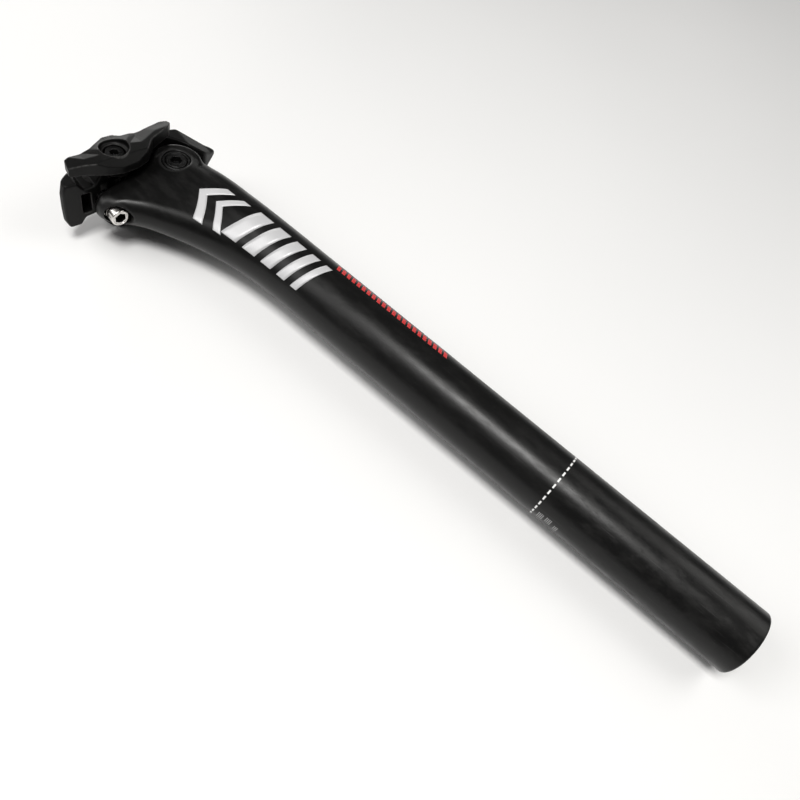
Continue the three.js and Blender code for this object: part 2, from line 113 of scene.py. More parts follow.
# The jaws, with the boss as (radius, low, high) and the recesses as (radius, floor) along z
JAW_FACE_Z = 22.5
JAW_BOSS = (6.8, 10.4, 16.6)
CLAMP_HEAD_POCKET = (5.2, 12.2)
CLAMP_MOUTH = (6.7, 18.9)

# Screws, nuts and inserts, with heads as (radius, low, high) and ends as (low, high) along their axis
PIVOT_HEAD = (5, 9.4, 13.3)
PIVOT_TIP = -11.2
CLAMP_HEAD = (4.25, 14, 19)
CLAMP_TIP = -18.6
INSERT_RADIUS = 6.5
INSERT_LOW = 7.7
INSERT_HIGH = 13.2
PIVOT_NUT_RADIUS = 5
PIVOT_NUT_ENDS = (-12.8, -9.4)
SLEEVE_NUT_RADIUS = 3.9
SLEEVE_NUT_ENDS = (-19.1, -1)
CLAMP_WASHER_RADIUS = 4.9
CLAMP_WASHER_ENDS = (12.5, 13.7)
BARREL_RADIUS = 5
BARREL_HALF_LENGTH = 6.8

# x, then centre and radius of the section's front circle, then of its rear circle
STATIONS = np.array([
    (-5, 0, TUBE_RADIUS, 0, TUBE_RADIUS), (230, 0, TUBE_RADIUS, 0, TUBE_RADIUS),
    (248, 0, TUBE_RADIUS, 0, TUBE_RADIUS), (262, 0, TUBE_RADIUS, 1.2, 15),
    (276, 0, 15.7, 4.2, 13.6), (290, 0, 15.5, 9, 12), (302, 0, 15.1, 14.4, 10.6), (313, 0.6, 15, 20, 9.6),
    (322, 1.6, 14.6, 25.4, 8.8), (329, 2.4, 14.2, 31.4, 8.2), (333, 3, 14, 36, 7.8),
    (337, 3.4, 13.5, 38, 7.6), (342, 3.8, 13, 38.2, 7.3), (350, 4, 12.6, 38.2, 7.2),
])


# Frames ---------------------------------------------------------------------------------------------

def clamp_to_post(x, y):
    cos, sin = math.cos(CLAMP_ANGLE), math.sin(CLAMP_ANGLE)
    return CLAMP_CENTRE[0] + x * cos - y * sin, CLAMP_CENTRE[1] + x * sin + y * cos


def post_to_clamp(x, y):
    cos, sin = math.cos(CLAMP_ANGLE), math.sin(CLAMP_ANGLE)
    across, along = x - CLAMP_CENTRE[0], y - CLAMP_CENTRE[1]
    return across * cos + along * sin, along * cos - across * sin


def post_place():
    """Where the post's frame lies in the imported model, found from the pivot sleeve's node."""
    low, high = (np.array(corner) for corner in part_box("pivot_sleeve"))
    pivot = clamp_to_post(*PIVOT)
    middle = (low + high) / 2
    shift = (middle[0] - pivot[0] * MM, middle[1] - pivot[1] * MM, middle[2])
    return Matrix.Translation(shift) @ Matrix.Scale(MM, 4)


POST_PLACE = post_place()
CLAMP_PLACE = (POST_PLACE @ Matrix.Translation((*CLAMP_CENTRE, 0))
               @ Matrix.Rotation(CLAMP_ANGLE, 4, "Z"))


# Distance fields --------------------------------------------------------------------------------------

def meet(a, b, edge=0.0):
    """Inside both, with the edge between them rounded to that radius."""
    corner = np.hypot(np.maximum(a + edge, 0), np.maximum(b + edge, 0))
    return np.minimum(np.maximum(a, b), -edge) + corner


def fuse(a, b, fillet=0.0):
    """Inside either, with a fillet of that radius between them."""
    return -meet(-a, -b, fillet)


def less(a, b, edge=0.0):
    return meet(a, -b, edge)


def between(value, low, high):
    return np.maximum(low - value, value - high)


def polygon(points, a, b):
    nearest = np.full(np.broadcast(a, b).shape, np.inf)
    inside = np.zeros(nearest.shape, bool)
    for (a0, b0), (a1, b1) in zip(points, points[1:] + points[:1]):
        da, db = a1 - a0, b1 - b0
        part = np.clip(((a - a0) * da + (b - b0) * db) / (da * da + db * db), 0, 1)
        nearest = np.minimum(nearest, (a - a0 - part * da) ** 2 + (b - b0 - part * db) ** 2)
        if db:
            inside ^= ((b0 > b) != (b1 > b)) & (a < a0 + da * (b - b0) / db)
    return np.where(inside, -1, 1) * np.sqrt(nearest)


def rounded(points, reach):
    """The polygon with a curve at each corner, starting reach away from it at most."""
    curve = []
    points = [np.array(p, float) for p in points]
    for before, here, after in zip(points[-1:] + points[:-1], points, points[1:] + points[:1]):
        back, on = before - here, after - here
        cut = min(reach, 0.45 * np.linalg.norm(back), 0.45 * np.linalg.norm(on))
        start, end = here + back * cut / np.linalg.norm(back), here + on * cut / np.linalg.norm(on)
        for t in (0.0, 0.5, 1.0):
            curve.append(tuple(start * (1 - t) ** 2 + here * 2 * t * (1 - t) + end * t * t))
    return curve


def mirrored(half):
    """A plan outline from its near half, listed as (a, b) with b on the near side."""
    return half + [(a, -b) for a, b in reversed(half)]


def rod(x, y, centre, radius):
    """Distance from an endless cylinder along z."""
    return np.hypot(x - centre[0], y - centre[1]) - radius


def hexagon(a, b, corner_radius):
    flat = corner_radius * math.cos(math.pi / 6)
    sides = [np.abs(a * math.cos(t) + b * math.sin(t)) for t in (0, math.pi / 3, 2 * math.pi / 3)]
    return np.maximum(np.maximum(sides[0], sides[1]), sides[2]) - flat


def thread(radius, along, turn, pitch, depth):
    """The distance from a screw's axis, lengthened in its helical groove by up to depth."""
    wave = 0.5 + 0.5 * np.cos(2 * math.pi * along / pitch - turn)
    return radius + depth * (1 - wave) ** 0.8


# Surfaces ---------------------------------------------------------------------------------------------

EDGE_STARTS = [(0, 0), (0, 1), (1, 0), (1, 1)]


def crossings(value, axes, cell):
    """The middle of the places where the field crosses zero on each cell's edges."""
    place = np.zeros((len(cell), 3))
    hits = np.zeros(len(cell))
    for axis in range(3):
        for first, second in EDGE_STARTS:
            start = cell.copy()
            start[:, (axis + 1) % 3] += first
            start[:, (axis + 2) % 3] += second
            end = start.copy()
            end[:, axis] += 1
            at_start, at_end = value[tuple(start.T)], value[tuple(end.T)]
            found = (at_start < 0) != (at_end < 0)
            part = (at_start[found] / (at_start[found] - at_end[found]))[:, None]
            points = [np.stack([axes[k][ends[found, k]] for k in range(3)], 1) for ends in (start, end)]
            place[found] += points[0] * (1 - part) + points[1] * part
            hits[found] += 1
    return place / hits[:, None]


def quads(inside, number):
    """Four cells round every grid edge that the surface crosses, facing outwards."""
    faces = []
    for axis in range(3):
        u, w = (axis + 1) % 3, (axis + 2) % 3
        here = np.moveaxis(inside, (axis, u, w), (0, 1, 2))
        cells = np.moveaxis(number, (axis, u, w), (0, 1, 2))
        step, p, q = np.nonzero(here[:-1, 1:-1, 1:-1] != here[1:, 1:-1, 1:-1])
        ring = np.stack([cells[step, p, q], cells[step, p + 1, q], cells[step, p + 1, q + 1],
                         cells[step, p, q + 1]], 1)
        leaving = here[:-1, 1:-1, 1:-1][step, p, q]
        faces.append(np.where(leaving[:, None], ring, ring[:, ::-1]))
    return np.concatenate(faces)


def gradient(field, p, reach=0.04):
    here = field(*p.T)
    ahead = [field(*(p + reach * np.eye(3)[k]).T) for k in range(3)]
    return here, np.stack([(value - here) / reach for value in ahead], 1)


def surface(field, axes):
    """Points on the field's zero level, the faces between them, and the outward direction at each."""
    value = field(axes[0][:, None, None], axes[1][None, :, None], axes[2][None, None, :])
    inside = value < 0
    cells = [n - 1 for n in inside.shape]
    total = np.zeros(cells, np.uint8)
    for i in (0, 1):
        for j in (0, 1):
            for k in (0, 1):
                total += inside[i:cells[0] + i, j:cells[1] + j, k:cells[2] + k]
    cell = np.argwhere((total > 0) & (total < 8))
    number = np.full(cells, -1, np.int64)
    number[tuple(cell.T)] = np.arange(len(cell))
    place = crossings(value, axes, cell)
    for _ in range(2):
        distance, slope = gradient(field, place)
        steep = np.maximum((slope ** 2).sum(1), 0.3)
        place -= np.clip(distance / steep, -0.3, 0.3)[:, None] * slope
    _, slope = gradient(field, place)
    outward = slope / np.maximum(np.linalg.norm(slope, axis=1), 1e-6)[:, None]
    return place, quads(inside, number), outward


def grid(low, high, step):
    return [np.arange(a - 1.5 * step, b + 2.5 * step, step) for a, b in zip(low, high)]


def piece(name, field, axes, place, body, nodes, finish, wear_depth=0.7, painted_shade=None):
    """A named mesh of the field, riding on a body and standing for CAD nodes.

    The painted-shade argument is a field and a finish: faces inside the field are given the finish, a dark
    colour painted in as shade in a recess.
    """
    points, faces, outward = surface(field, axes)
    deep = field(*(points - outward * wear_depth).T)
    mesh = bpy.data.meshes.new(name)
    turn = np.array(place)
    mesh.from_pydata((points @ turn[:3, :3].T + turn[:3, 3]).tolist(), [], faces.tolist())
    mesh.attributes.new("edge", "FLOAT", "POINT").data.foreach_set(
        "value", np.clip((1 + deep / wear_depth) / 0.3, 0, 1).astype(np.float32))
    mesh.shade_smooth()
    normals = outward @ turn[:3, :3].T / MM
    mesh.normals_split_custom_set_from_vertices(normals.tolist())
    made = settle(bpy.data.objects.new(name, mesh), body, nodes, finish)
    # faces inside the given field are painted dark as painted shade in a recess
    if painted_shade:
        mesh.materials.append(painted_shade[1])
        painted_shade_faces = painted_shade[0](*points[faces].mean(1).T) < 0
        mesh.polygons.foreach_set("material_index", painted_shade_faces.astype(np.int32))
    return made


def settle(obj, body, nodes, finish):
    """Gives an object its finish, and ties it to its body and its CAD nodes."""
    bpy.context.scene.collection.objects.link(obj)
    obj.data.materials.append(finish)
    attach(obj, body)
    if nodes:
        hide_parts(*nodes)
    return obj


# Materials --------------------------------------------------------------------------------------------

def material(name):
    made = bpy.data.materials.new(name)
    made.use_nodes = True
    tree = made.node_tree
    shader = next(node for node in tree.nodes if node.type == "BSDF_PRINCIPLED")
    return made, tree, shader


def node(tree, kind, inputs=None, **settings):
    made = tree.nodes.new(kind)
    for key, value in settings.items():
        setattr(made, key, value)
    for key, value in (inputs or {}).items():
        if isinstance(value, bpy.types.NodeSocket):
            tree.links.new(value, made.inputs[key])
        else:
            made.inputs[key].default_value = value
    return made


def noise(tree, scale, stretch=(1, 1, 1), detail=3.0, rough=0.5):
    """Noise in the object's own place, scaled per millimetre, and drawn out by stretch."""
    place = node(tree, "ShaderNodeTexCoord").outputs["Object"]
    size = tuple(1000.0 * scale * s for s in stretch)
    spread = node(tree, "ShaderNodeMapping", {"Vector": place, "Scale": size})
    made = node(tree, "ShaderNodeTexNoise", {
        "Vector": spread.outputs[0], "Scale": 1.0, "Detail": detail, "Roughness": rough})
    return made.outputs["Fac"]


def ramp(tree, value, low, high, start, end):
    """Value from low..high mapped smoothly to start..end."""
    made = node(tree, "ShaderNodeMapRange", {
        "Value": value, "From Min": low, "From Max": high, "To Min": start, "To Max": end})
    made.interpolation_type = "SMOOTHSTEP"
    return made.outputs["Result"]


def times(tree, a, b):
    return node(tree, "ShaderNodeMath", {0: a, 1: b}, operation="MULTIPLY").outputs[0]


def plus(tree, a, b):
    return node(tree, "ShaderNodeMath", {0: a, 1: b}, operation="ADD").outputs[0]


def blend(tree, share, first, second):
    made = node(tree, "ShaderNodeMix", data_type="RGBA")
    for socket, value in (("Factor", share), ("A", first), ("B", second)):
        slot = next(s for s in made.inputs if s.name == socket and s.enabled)
        if isinstance(value, bpy.types.NodeSocket):
            tree.links.new(value, slot)
        else:
            slot.default_value = value
    return next(s for s in made.outputs if s.enabled)


def grey(value, warm=0.0):
    return (value * (1 + warm), value, value * (1 - warm), 1)


def bump(tree, shader, height, depth_mm, strength=1.0):
    made = node(tree, "ShaderNodeBump", {"Height": height, "Distance": depth_mm * MM, "Strength": strength})
    tree.links.new(made.outputs["Normal"], shader.inputs["Normal"])


def along_tube(tree):
    """How far up the tube, in millimetres from its lower end."""
    place = node(tree, "ShaderNodeTexCoord").outputs["Object"]
    x = node(tree, "ShaderNodeSeparateXYZ", {0: place}).outputs[0]
    return node(tree, "ShaderNodeMath", {0: x, 1: 1000.0, 2: -POST_PLACE.translation.x * 1000.0},
                operation="MULTIPLY_ADD").outputs[0]


def carbon_finish():
    """Matt clear coat over black carbon, rubbed and scratched where it slides in a seat tube."""
    made, tree, shader = material("matt_carbon")
    mottle = noise(tree, 0.035, detail=4)
    cloud = noise(tree, 0.22, (0.4, 1, 1), detail=5, rough=0.65)
    inserted = ramp(tree, along_tube(tree), 92, 104, 1, 0)
    rubbed = times(tree, ramp(tree, cloud, 0.44, 0.66, 0, 1), ramp(tree, inserted, 0, 1, 0.35, 1))
    hair = ramp(tree, noise(tree, 1.0, (0.035, 1.6, 1.6), detail=2), 0.66, 0.72, 0, 1)
    lines = times(tree, hair, ramp(tree, inserted, 0, 1, 0.25, 1))
    dust = ramp(tree, noise(tree, 1.4, detail=1), 0.73, 0.78, 0, 1)
    marks = plus(tree, times(tree, lines, 0.45), times(tree, dust, 0.3))
    colour = blend(tree, mottle, grey(0.0018), grey(0.0032, 0.04))
    colour = blend(tree, times(tree, rubbed, 0.7), colour, grey(0.007, 0.05))
    colour = blend(tree, marks, colour, grey(0.045))
    worn = times(tree, node(tree, "ShaderNodeAttribute", attribute_name="edge").outputs["Fac"], 0.22)
    colour = blend(tree, worn, colour, grey(0.05))
    tree.links.new(colour, shader.inputs["Base Color"])
    stain = ramp(tree, noise(tree, 0.3, (0.7, 1, 1), detail=5, rough=0.7), 0.56, 0.64, 0, 1)
    stain = times(tree, times(tree, stain, inserted), ramp(tree, along_tube(tree), 20, 44, 0, 0.12))
    rough = plus(tree, ramp(tree, cloud, 0.3, 0.75, 0.28, 0.38), times(tree, rubbed, 0.06))
    rough = plus(tree, rough, stain)
    tree.links.new(rough, shader.inputs["Roughness"])
    shader.inputs["Specular IOR Level"].default_value = 0.26
    shader.inputs["Coat Weight"].default_value = 0.02
    shader.inputs["Coat Roughness"].default_value = 0.3
    peel = plus(tree, noise(tree, 0.9, detail=2), times(tree, lines, -0.5))
    bump(tree, shader, peel, 0.02, 0.6)
    return made


def blasted_finish():
    """Bead-blasted alloy, anodised black, with the anodising rubbed thin along its edges."""
    made, tree, shader = material("blasted_black_alloy")
    grain = noise(tree, 3.2, detail=3, rough=0.7)
    patch = noise(tree, 0.16, detail=3)
    edge = node(tree, "ShaderNodeAttribute", attribute_name="edge").outputs["Fac"]
    broken = ramp(tree, noise(tree, 0.6, detail=3), 0.34, 0.6, 0.3, 1)
    worn = times(tree, ramp(tree, edge, 0.45, 1.0, 0, 1), broken)
    colour = blend(tree, patch, grey(0.0015), grey(0.003, 0.03))
    colour = blend(tree, ramp(tree, grain, 0.42, 0.7, 0, 0.35), colour, grey(0.006))
    colour = blend(tree, times(tree, worn, 0.4), colour, grey(0.09, 0.02))
    tree.links.new(colour, shader.inputs["Base Color"])
    tree.links.new(ramp(tree, grain, 0.3, 0.7, 0.34, 0.46), shader.inputs["Roughness"])
    shader.inputs["Specular IOR Level"].default_value = 0.16
    bump(tree, shader, grain, 0.05, 0.55)
    return made


def steel_finish(name, dark, light, rough, tint=0.0, metallic=1.0):
    """Plated or blackened steel with fine turning lines and a little tarnish."""
    made, tree, shader = material(name)
    tarnish = noise(tree, 0.45, detail=4)
    speck = ramp(tree, noise(tree, 2.6, detail=2), 0.6, 0.75, 0, 0.5)
    colour = blend(tree, tarnish, grey(dark, tint), grey(light, tint * 0.4))
    colour = blend(tree, speck, colour, grey(dark * 0.7, tint))
    tree.links.new(colour, shader.inputs["Base Color"])
    tree.links.new(ramp(tree, tarnish, 0.3, 0.7, rough * 0.8, rough * 1.3), shader.inputs["Roughness"])
    shader.inputs["Metallic"].default_value = metallic
    bump(tree, shader, noise(tree, 5.0, (1, 1, 0.12), detail=1), 0.008, 0.5)
    return made


def polymer_finish():
    made, tree, shader = material("washer_polymer")
    grain = noise(tree, 2.0, detail=2)
    tree.links.new(blend(tree, grain, grey(0.02), grey(0.035)), shader.inputs["Base Color"])
    tree.links.new(ramp(tree, grain, 0.3, 0.7, 0.5, 0.65), shader.inputs["Roughness"])
    bump(tree, shader, grain, 0.02, 0.4)
    return made


def print_finish(name, colour, thin, metallic, rough):
    """Printed ink or foil with fine speckle, thinner in places."""
    made, tree, shader = material(name)
    speck = noise(tree, 2.2, detail=4, rough=0.75)
    wornness = ramp(tree, speck, 0.55, 0.8, 0, 0.7)
    tree.links.new(blend(tree, wornness, (*colour, 1), (*thin, 1)), shader.inputs["Base Color"])
    tree.links.new(ramp(tree, speck, 0.3, 0.7, rough * 0.85, rough * 1.2), shader.inputs["Roughness"])
    shader.inputs["Metallic"].default_value = metallic
    bump(tree, shader, speck, 0.01, 0.5)
    return made


def floor_finish():
    made, tree, shader = material("pale_table")
    shade = noise(tree, 0.004, detail=2)
    tree.links.new(blend(tree, shade, grey(0.86), grey(0.89)), shader.inputs["Base Color"])
    tree.links.new(ramp(tree, shade, 0.2, 0.8, 0.36, 0.44), shader.inputs["Roughness"])
    return made


# The post ---------------------------------------------------------------------------------------------

def smooth(x, column):
    """A station value at x, on a smooth curve that never overshoots the stations."""
    at, value = STATIONS[:, 0], STATIONS[:, column]
    rise = np.diff(value) / np.diff(at)
    slope = np.zeros(len(at))
    ahead, behind = rise[1:], rise[:-1]
    same = ahead * behind > 0
    slope[1:-1][same] = 2 * ahead[same] * behind[same] / (ahead[same] + behind[same])
    k = np.clip(np.searchsorted(at, x) - 1, 0, len(at) - 2)
    width = at[k + 1] - at[k]
    t = np.clip((x - at[k]) / width, 0, 1)
    return ((1 + 2 * t) * (1 - t) ** 2 * value[k] + t * (1 - t) ** 2 * width * slope[k]
            + t * t * (3 - 2 * t) * value[k + 1] + t * t * (t - 1) * width * slope[k + 1])


def post_skin(x, y, z):
    """Distance from the hull of the section's two circles."""
    front, front_radius, rear, rear_radius = (smooth(x, column) for column in (1, 2, 3, 4))
    span = np.maximum(rear - front, 1e-3)
    lean = np.clip((front_radius - rear_radius) / span, -0.99, 0.99)
    upright = np.sqrt(1 - lean ** 2)
    across, along = np.abs(z), y - front
    reach = along * upright - across * lean
    side = across * upright + along * lean - front_radius
    return np.where(reach < 0, np.hypot(across, along) - front_radius,
                    np.where(reach > span * upright, np.hypot(across, along - span) - rear_radius, side))


def post_outside(x, y, z):
    cx, cy = post_to_clamp(x, y)
    shell = meet(meet(post_skin(x, y, z), x - TOP_X, 2.8), -x, 1.2)
    half_width = BOSS_HALF_WIDTH - BOSS_TAPER * np.maximum(y - BOSS_TAPER_START, 0)
    boss = meet(rod(cx, cy, PIVOT, BOSS_RADIUS), np.abs(z) - half_width, 2.2)
    return fuse(shell, boss, 1.2)


def post_field(x, y, z):
    cx, cy = post_to_clamp(x, y)
    side = np.abs(z)
    body = post_outside(x, y, z)
    bore = meet(np.hypot(y, z) - BORE_RADIUS, x - BORE_DEPTH, 8.0)
    body = less(body, bore, 0.5)
    slot = polygon([(12, 14), (12, -3), (16, -16), (50, -16), (50, 14)], cx, cy)
    body = less(body, meet(slot, side - SLOT_HALF_WIDTH, 0.4), 0.5)
    pivot = rod(cx, cy, PIVOT, 0)
    body = less(body, pivot - EAR_HOLE_RADIUS)
    body = less(body, meet(pivot - EAR_RECESS_RADIUS, EAR_RECESS_FLOOR - side, 0.2), 0.45)
    tilt = np.hypot(cx - TILT_X, z)
    body = less(body, np.maximum(tilt - TILT_HOLE_RADIUS, cy - 2), 0.3)
    pocket = np.hypot(cx - TILT_POCKET_X, z) - TILT_POCKET_RADIUS
    return less(body, meet(pocket, cy - TILT_SEAT_Y, 0.2), 0.3)


def post_axes():
    """A grid that is fine round the head and coarse along the plain tube."""
    fine = 0.42
    end = np.arange(-0.6, 2.4, 0.3)
    tube = np.linspace(2.6, 244, 56)
    head = np.arange(245.5, 347, fine)
    across = np.arange(-16.6, 46.6, fine)
    deep = np.arange(-16.6, 16.8, fine)
    return [np.concatenate([end, tube, head]), across, deep]


# Printed marks ----------------------------------------------------------------------------------------

INK_HEIGHT = 0.05


def on_skin(x, turn):
    """The point of the post's surface at x, at an angle about the tube's axis from the rear."""
    y, z = np.cos(turn), np.sin(turn)
    radius = np.full(x.shape, TUBE_RADIUS)
    for _ in range(12):
        radius -= (post_outside(x, radius * y, radius * z) - INK_HEIGHT) * 0.95
    return np.stack([x, radius * y, radius * z], 1)


def printed(name, patches, finish):
    """Thin ink from four-sided patches: each maps (u, v) in 0..1 to (x, angle in degrees)."""
    points, faces = [], []
    for patch, rows, columns in patches:
        u, v = np.meshgrid(np.linspace(0, 1, rows), np.linspace(0, 1, columns), indexing="ij")
        x, angle = patch(u.ravel(), v.ravel())
        first = sum(len(p) for p in points)
        points.append(on_skin(x, np.radians(angle)))
        cell = (np.arange(rows - 1)[:, None] * columns + np.arange(columns - 1)).ravel() + first
        faces.append(np.stack([cell, cell + 1, cell + columns + 1, cell + columns], 1))
    turn = np.array(POST_PLACE)
    mesh = bpy.data.meshes.new(name)
    mesh.from_pydata((np.concatenate(points) @ turn[:3, :3].T + turn[:3, 3]).tolist(), [],
                     np.concatenate(faces).tolist())
    mesh.shade_smooth()
    obj = bpy.data.objects.new(name, mesh)
    thick = obj.modifiers.new("ink", "SOLIDIFY")
    thick.thickness = 0.09 * MM
    thick.offset = -1
    return settle(obj, "post", (), finish)


def bar(x, width, low, high, lean):
    """A bar across the tube from one angle to another, leaning along it."""
    middle = (low + high) / 2

    def patch(u, v):
        angle = low + (high - low) * v
        return x + width * (u - 0.5) + lean * (angle - middle), angle
    return patch, 5, 40


def chevron(x, width, low, high, reach):
    """A bar bent at its middle, with its point towards the head."""
    middle, half = (low + high) / 2, (high - low) / 2

    def patch(u, v):
        angle = low + (high - low) * v
        return x + width * (u - 0.5) - reach * np.abs(angle - middle) / half, angle
    return patch, 5, 61


def silver_mark():
    """Two chevrons and a run of leaning bars that thin out along the tube."""
    patches = [chevron(309.5, 5.2, 24, 94, 9.0), chevron(299.5, 4.4, 26, 96, 9.0)]
    x = 286.0
    for width in (8.6, 7.4, 6.2, 5.0, 3.8):
        patches.append(bar(x - width / 2, width, 30, 100, -0.09))
        x -= width + 3.6
    foil = print_finish("silver_foil", (0.58, 0.58, 0.59), (0.34, 0.34, 0.35), 0.2, 0.42)
    return printed("silver_mark", patches, foil)


def red_hatch():
    """A row of short leaning dashes along the top of the tube."""
    patches = [bar(237.0 - 3.05 * k, 1.9, 109.5, 126.5, 0.1) for k in range(22)]
    ink = print_finish("red_ink", (0.62, 0.03, 0.03), (0.3, 0.02, 0.02), 0.0, 0.45)
    return printed("red_hatch", patches, ink)


def insertion_ring():
    """The dashed line round the tube at the minimum insertion."""
    count = 30
    pitch = 360 / count
    starts = [pitch * k + 1.5 for k in range(count)]
    dash = [bar(RING_X, 0.8, start, start + pitch * 0.62, 0.0) for start in starts]
    ink = print_finish("white_ink", (0.83, 0.83, 0.82), (0.6, 0.6, 0.6), 0.0, 0.5)
    return printed("insertion_ring", dash, ink)


def scale_blocks():
    """Three small grey blocks of fine lines under the ring."""
    lines = []
    for row, (x, low, high) in enumerate(((96.6, -15, 1), (92.6, -12, 3), (88.8, -14, -2))):
        for k in range(4 if row < 2 else 3):
            lines.append(bar(x + 0.75 * k - 1.1, 0.38, low, high, 0.0))
    ink = print_finish("grey_ink", (0.3, 0.3, 0.3), (0.12, 0.12, 0.12), 0.0, 0.5)
    return printed("scale_blocks", lines, ink)


# The cradle -------------------------------------------------------------------------------------------

def arc(centre, radius, start, end, count):
    turns = np.linspace(start, end, count)
    return [(centre[0] + radius * math.cos(t), centre[1] + radius * math.sin(t)) for t in turns]


CRADLE_SIDE = (rounded([(-31.7, -1.2), (-30.4, -3.4), (-22.5, -3.6), (-20.5, -4.2), (8, -0.6)], 0.7)[3:-3]
               + [(8, -0.6)] + arc(PIVOT, 15, 0.8 * math.pi, 0.2 * math.pi, 20)
               + rounded([(38, -1), (43.5, -2.4), (49.6, 0.7), (52.2, 2.4), (51, 4.8), (36, 13.4), (29, 12.6),
                          (22, 10.8), (-8, 10), (-21, 7.4), (-27.5, 3), (-31.7, -1.2)], 1.1)[3:-3]
               + [(-31.5, -0.9)])
CRADLE_PLAN = rounded(mirrored([
    (-31.8, 1), (-31.4, 8), (-29.2, 12.6), (-23.8, 12.6), (-21, 8.2), (-15.6, 8.2), (-11, 15.2),
    (24, 15.2), (36, 11.4), (48, 2.8), (52.3, 0.9)]), 0.8)
SHOULDER = [(16.3, 7.8), (18.3, 9.4), (18.3, 11.4), (17.3, 12.2)]


def serrated(value, x, y, start, depth=0.22, pitch=1.15):
    """Small ridges across the rails, above a height."""
    ridge = np.abs(((x / pitch) % 1) - 0.5) * 2
    return value + depth * ridge * np.clip((y - start) / 0.6, 0, 1)


def cradle_shoulders(x, y, z):
    section = polygon(mirrored([(b, a) for a, b in SHOULDER]), y, z)
    rear = meet(section, between(x, -6.5, 3.5), 0.4)
    front = meet(section, between(x, 23.5, 28.5), 0.4)
    return serrated(np.minimum(rear, front), x, y, 9.6)


def cradle_field(x, y, z):
    side = np.abs(z)
    body = meet(polygon(CRADLE_SIDE, x, y), polygon(CRADLE_PLAN, x, z), 1.0)
    body = fuse(body, cradle_shoulders(x, y, z), 0.5)
    arm = polygon([(17.5, 7), (17.6, -8), (29.2, -8), (30, 7)], x, y)
    tongue = meet(np.minimum(arm, rod(x, y, PIVOT, 6)), side - TONGUE_HALF_WIDTH, 0.5)
    body = fuse(body, tongue, 1.2)
    hollow = polygon([(-22.6, -14), (-22.6, 3.6), (-18.2, 5), (-18.2, -14)], x, y)
    body = less(body, meet(hollow, side - HOLLOW_HALF_WIDTH, 1.0), 0.3)
    body = less(body, rod(x, y, PIVOT, CRADLE_PIVOT_BORE), 0.2)
    bolt = rod(x, y, CLAMP_BOLT, 0)
    sleeve_hole = np.maximum(bolt - SLEEVE_HOLE_RADIUS, z - SLEEVE_HOLE_END)
    body = less(body, np.minimum(bolt - CROSS_HOLE_RADIUS, sleeve_hole), 0.2)
    body = less(body, np.maximum(bolt - JAW_POCKET_RADIUS, JAW_POCKET_FLOOR - side), 0.3)
    barrel_hole = rod(x, y, (TILT_X, TILT_NUT_Y), BARREL_HOLE_RADIUS)
    body = less(body, np.maximum(barrel_hole, z - BARREL_HOLE_END), 0.3)
    return less(body, np.hypot(x - TILT_X, z) - TILT_PASSAGE_RADIUS, 0.3)


# The jaws ---------------------------------------------------------------------------------------------

UPPER = [(27, 5), (30, 8), (29.4, 11), (26, 11.9), (14.4, 8.8), (4.6, 9.2), (2, 12), (-3.2, 12.2)]
NEAR_SIDE = [(-26, -1.6), (-19, -3.4), (-10.6, -7.2), (-4, -8.8), (4, -8.4), (10.2, -6), (16, 0.2),
             *UPPER, (-11.8, 5.9), (-22.3, 5), (-25, 4)]
FAR_SIDE = [(-10, 4), (-8.4, -0.4), (-5.6, -3.4), (0.8, -3.8), (5, -2), (14, 1.4), *UPPER, (-9, 9.6)]
JAW_PLAN = rounded([(-26.2, 16.4), (-26.2, 19.6), (-25.4, 20.4), (-11, JAW_FACE_Z), (7, JAW_FACE_Z),
                    (28, 21.6), (30.2, 20.4), (30.2, 15.6), (-25.6, 15.6)], 0.5)
JAW_END = [(13, -13), (18, -10), (22, -5.4), (JAW_FACE_Z, -4.6), (JAW_FACE_Z, 3.4), (20.2, 9.6), (19.4, 13),
           (13, 13)]
NEAR_FACE = [(-25.9, -0.2), (-17.5, -3.0), (-10.6, -0.8), (-9.4, 2.2), (-2.9, 3.4), (4.1, 4.3), (5.0, 0.9),
             (10.2, -0.6), (13.3, 0.3), (21.8, 3.6), (25.5, 4.4), (24, 2.6), (16, -0.6), (10, -6.4),
             (4, -8.9), (-4, -9.3), (-10.8, -7.6), (-19, -3.9), (-25.5, -1.6)]
BEVEL_SLOPE = math.radians(17)


def jaw_blank(outline, x, y, z):
    side = polygon(rounded(outline, 0.6), x, y)
    blank = meet(meet(side, polygon(JAW_END, z, y), 0.25), polygon(JAW_PLAN, x, z), 0.25)
    radius, low, high = JAW_BOSS
    boss = meet(rod(x, y, CLAMP_BOLT, radius), between(z, low, high), 0.4)
    rail = np.hypot(y - RAIL_Y, z - GROOVE_Z) - RAIL_GROOVE_RADIUS
    blank = serrated(blank, x + 3.0 * (x < 18), y, 9.9, 0.2)
    return less(fuse(blank, boss, 0.4), rail, 0.25)


def bevelled(jaw, x, y, z):
    """The near jaw with its outer face sloping away all round a flat, lens-shaped middle."""
    away = np.maximum(polygon(NEAR_FACE, x, y), 0)
    slope = (z - JAW_FACE_Z) * math.cos(BEVEL_SLOPE) + away * math.sin(BEVEL_SLOPE)
    return meet(jaw, slope, 0.12)


def near_jaw_field(x, y, z):
    bolt = rod(x, y, CLAMP_BOLT, 0)
    jaw = bevelled(jaw_blank(NEAR_SIDE, x, y, z), x, y, z)
    pocket_radius, pocket_floor = CLAMP_HEAD_POCKET
    jaw = less(jaw, meet(bolt - pocket_radius, pocket_floor - z, 0.3), 0.3)
    mouth_radius, mouth_floor = CLAMP_MOUTH
    mouth = meet(bolt - mouth_radius, mouth_floor - z, 1.6)
    return less(less(jaw, mouth, 0.25), bolt - CROSS_HOLE_RADIUS)


def far_jaw_field(x, y, z):
    bolt = rod(x, y, CLAMP_BOLT, 0)
    sleeve_pocket = np.maximum(bolt - SLEEVE_HOLE_RADIUS, -19.4 - z)
    return less(jaw_blank(FAR_SIDE, x, y, -z), sleeve_pocket, 0.3)


